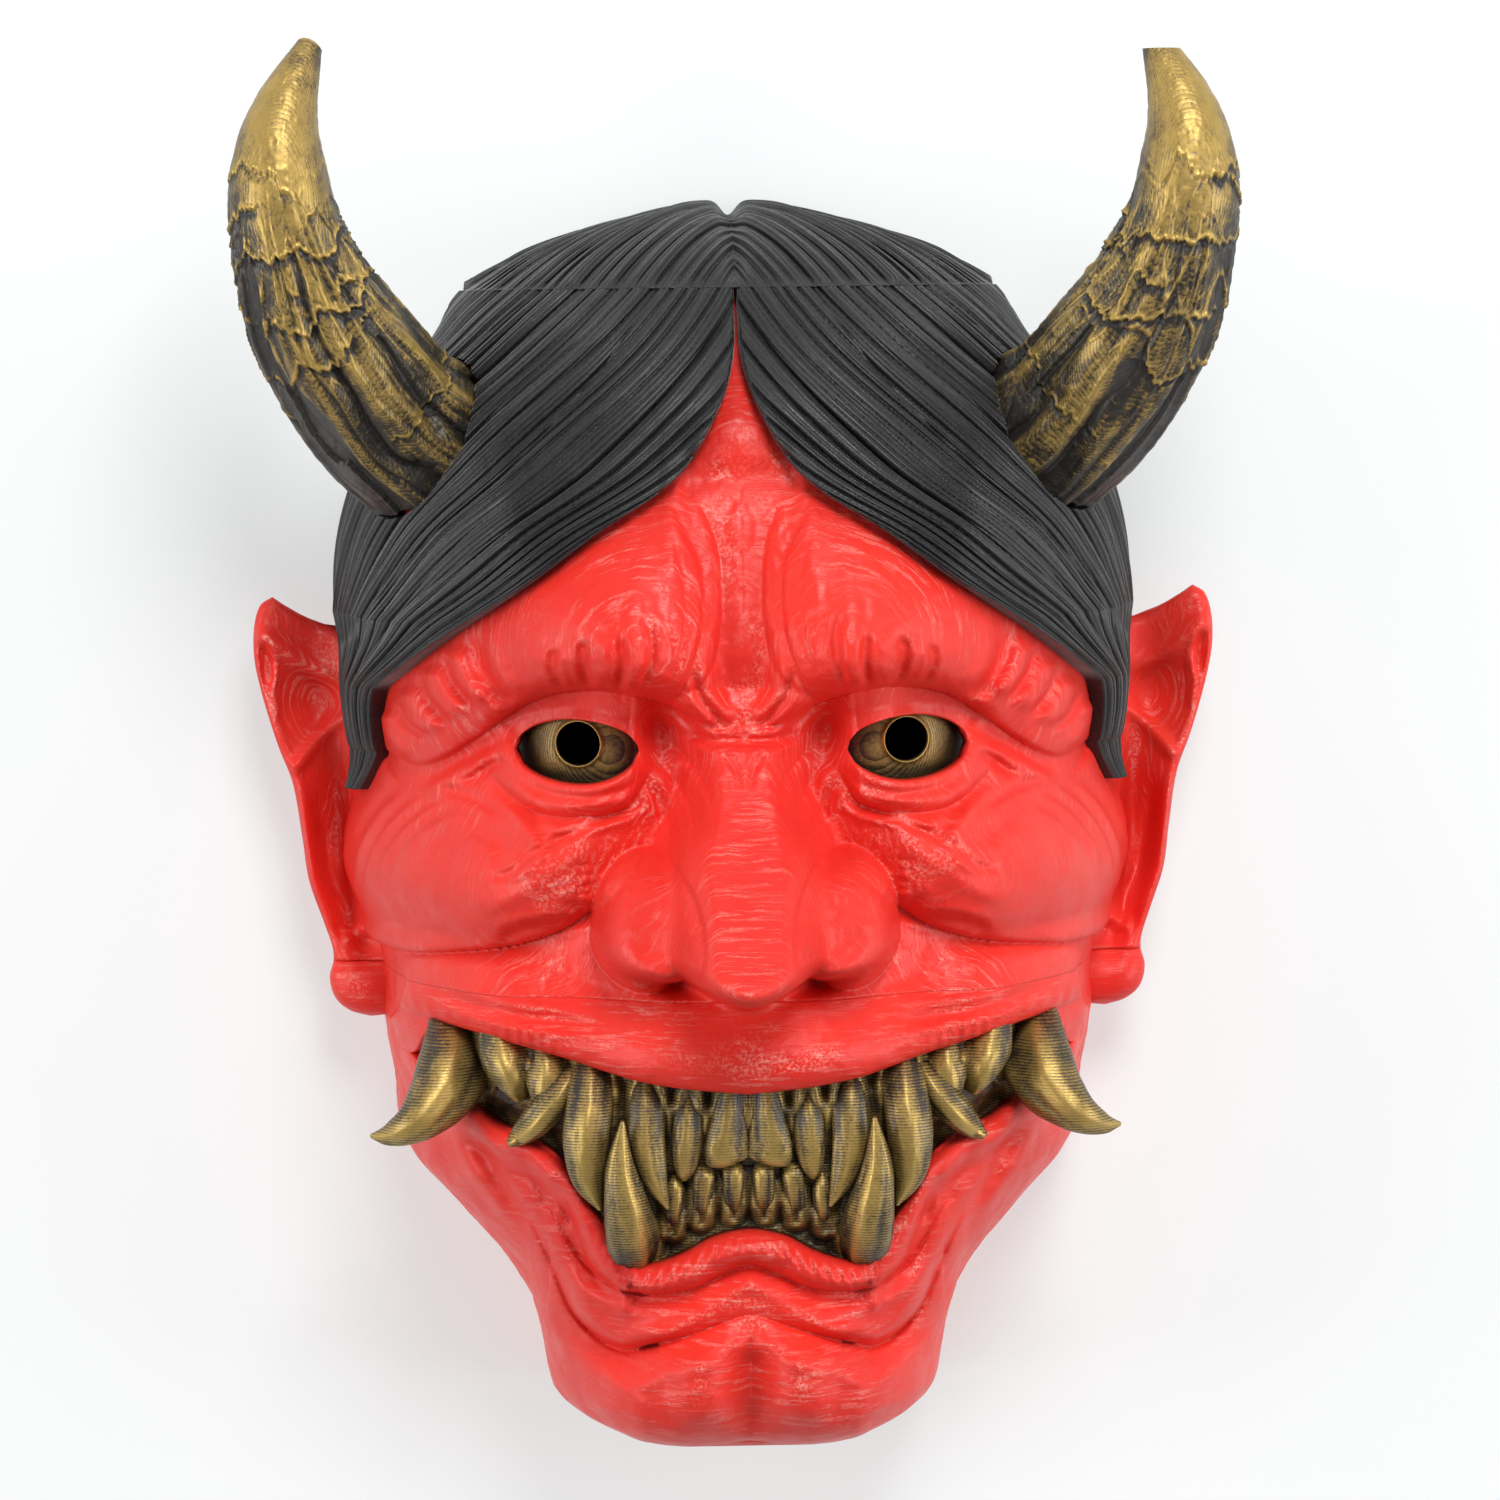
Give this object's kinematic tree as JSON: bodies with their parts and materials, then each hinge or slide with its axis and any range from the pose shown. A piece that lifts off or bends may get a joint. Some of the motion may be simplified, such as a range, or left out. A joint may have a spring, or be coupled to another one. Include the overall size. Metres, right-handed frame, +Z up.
{
  "type": "noh mask",
  "caption": "Demon mask in the Noh style: glued face shell with parted hair, curved horns, domed eyes and bared teeth, worn with a cord.",
  "frame": {"origin": "on the plane of symmetry, in the plane of the back rim, at the level of the pupils", "axes": "+Z up, +X towards the right of a viewer who faces the mask, the face looks along -Y"},
  "size_m": [0.203, 0.1283, 0.2875],
  "materials": {
    "red_print": "satin red print with fine layer lines",
    "black_print": "matt charcoal print with strand grooves",
    "gold_brushed_print": "black print dry-brushed with gold paint",
    "beech": "plain turned dowel"
  },
  "bodies": {
    "root": {"upper_face": "red_print", "lower_face": "red_print", "hair_crown": "black_print", "left_hair_lock": "black_print", "right_hair_lock": "black_print", "left_horn": "gold_brushed_print", "right_horn": "gold_brushed_print", "left_horn_dowel": "beech", "right_horn_dowel": "beech", "left_eye": "gold_brushed_print", "right_eye": "gold_brushed_print", "upper_teeth": "gold_brushed_print", "lower_teeth": "gold_brushed_print"}
  },
  "joints": []
}
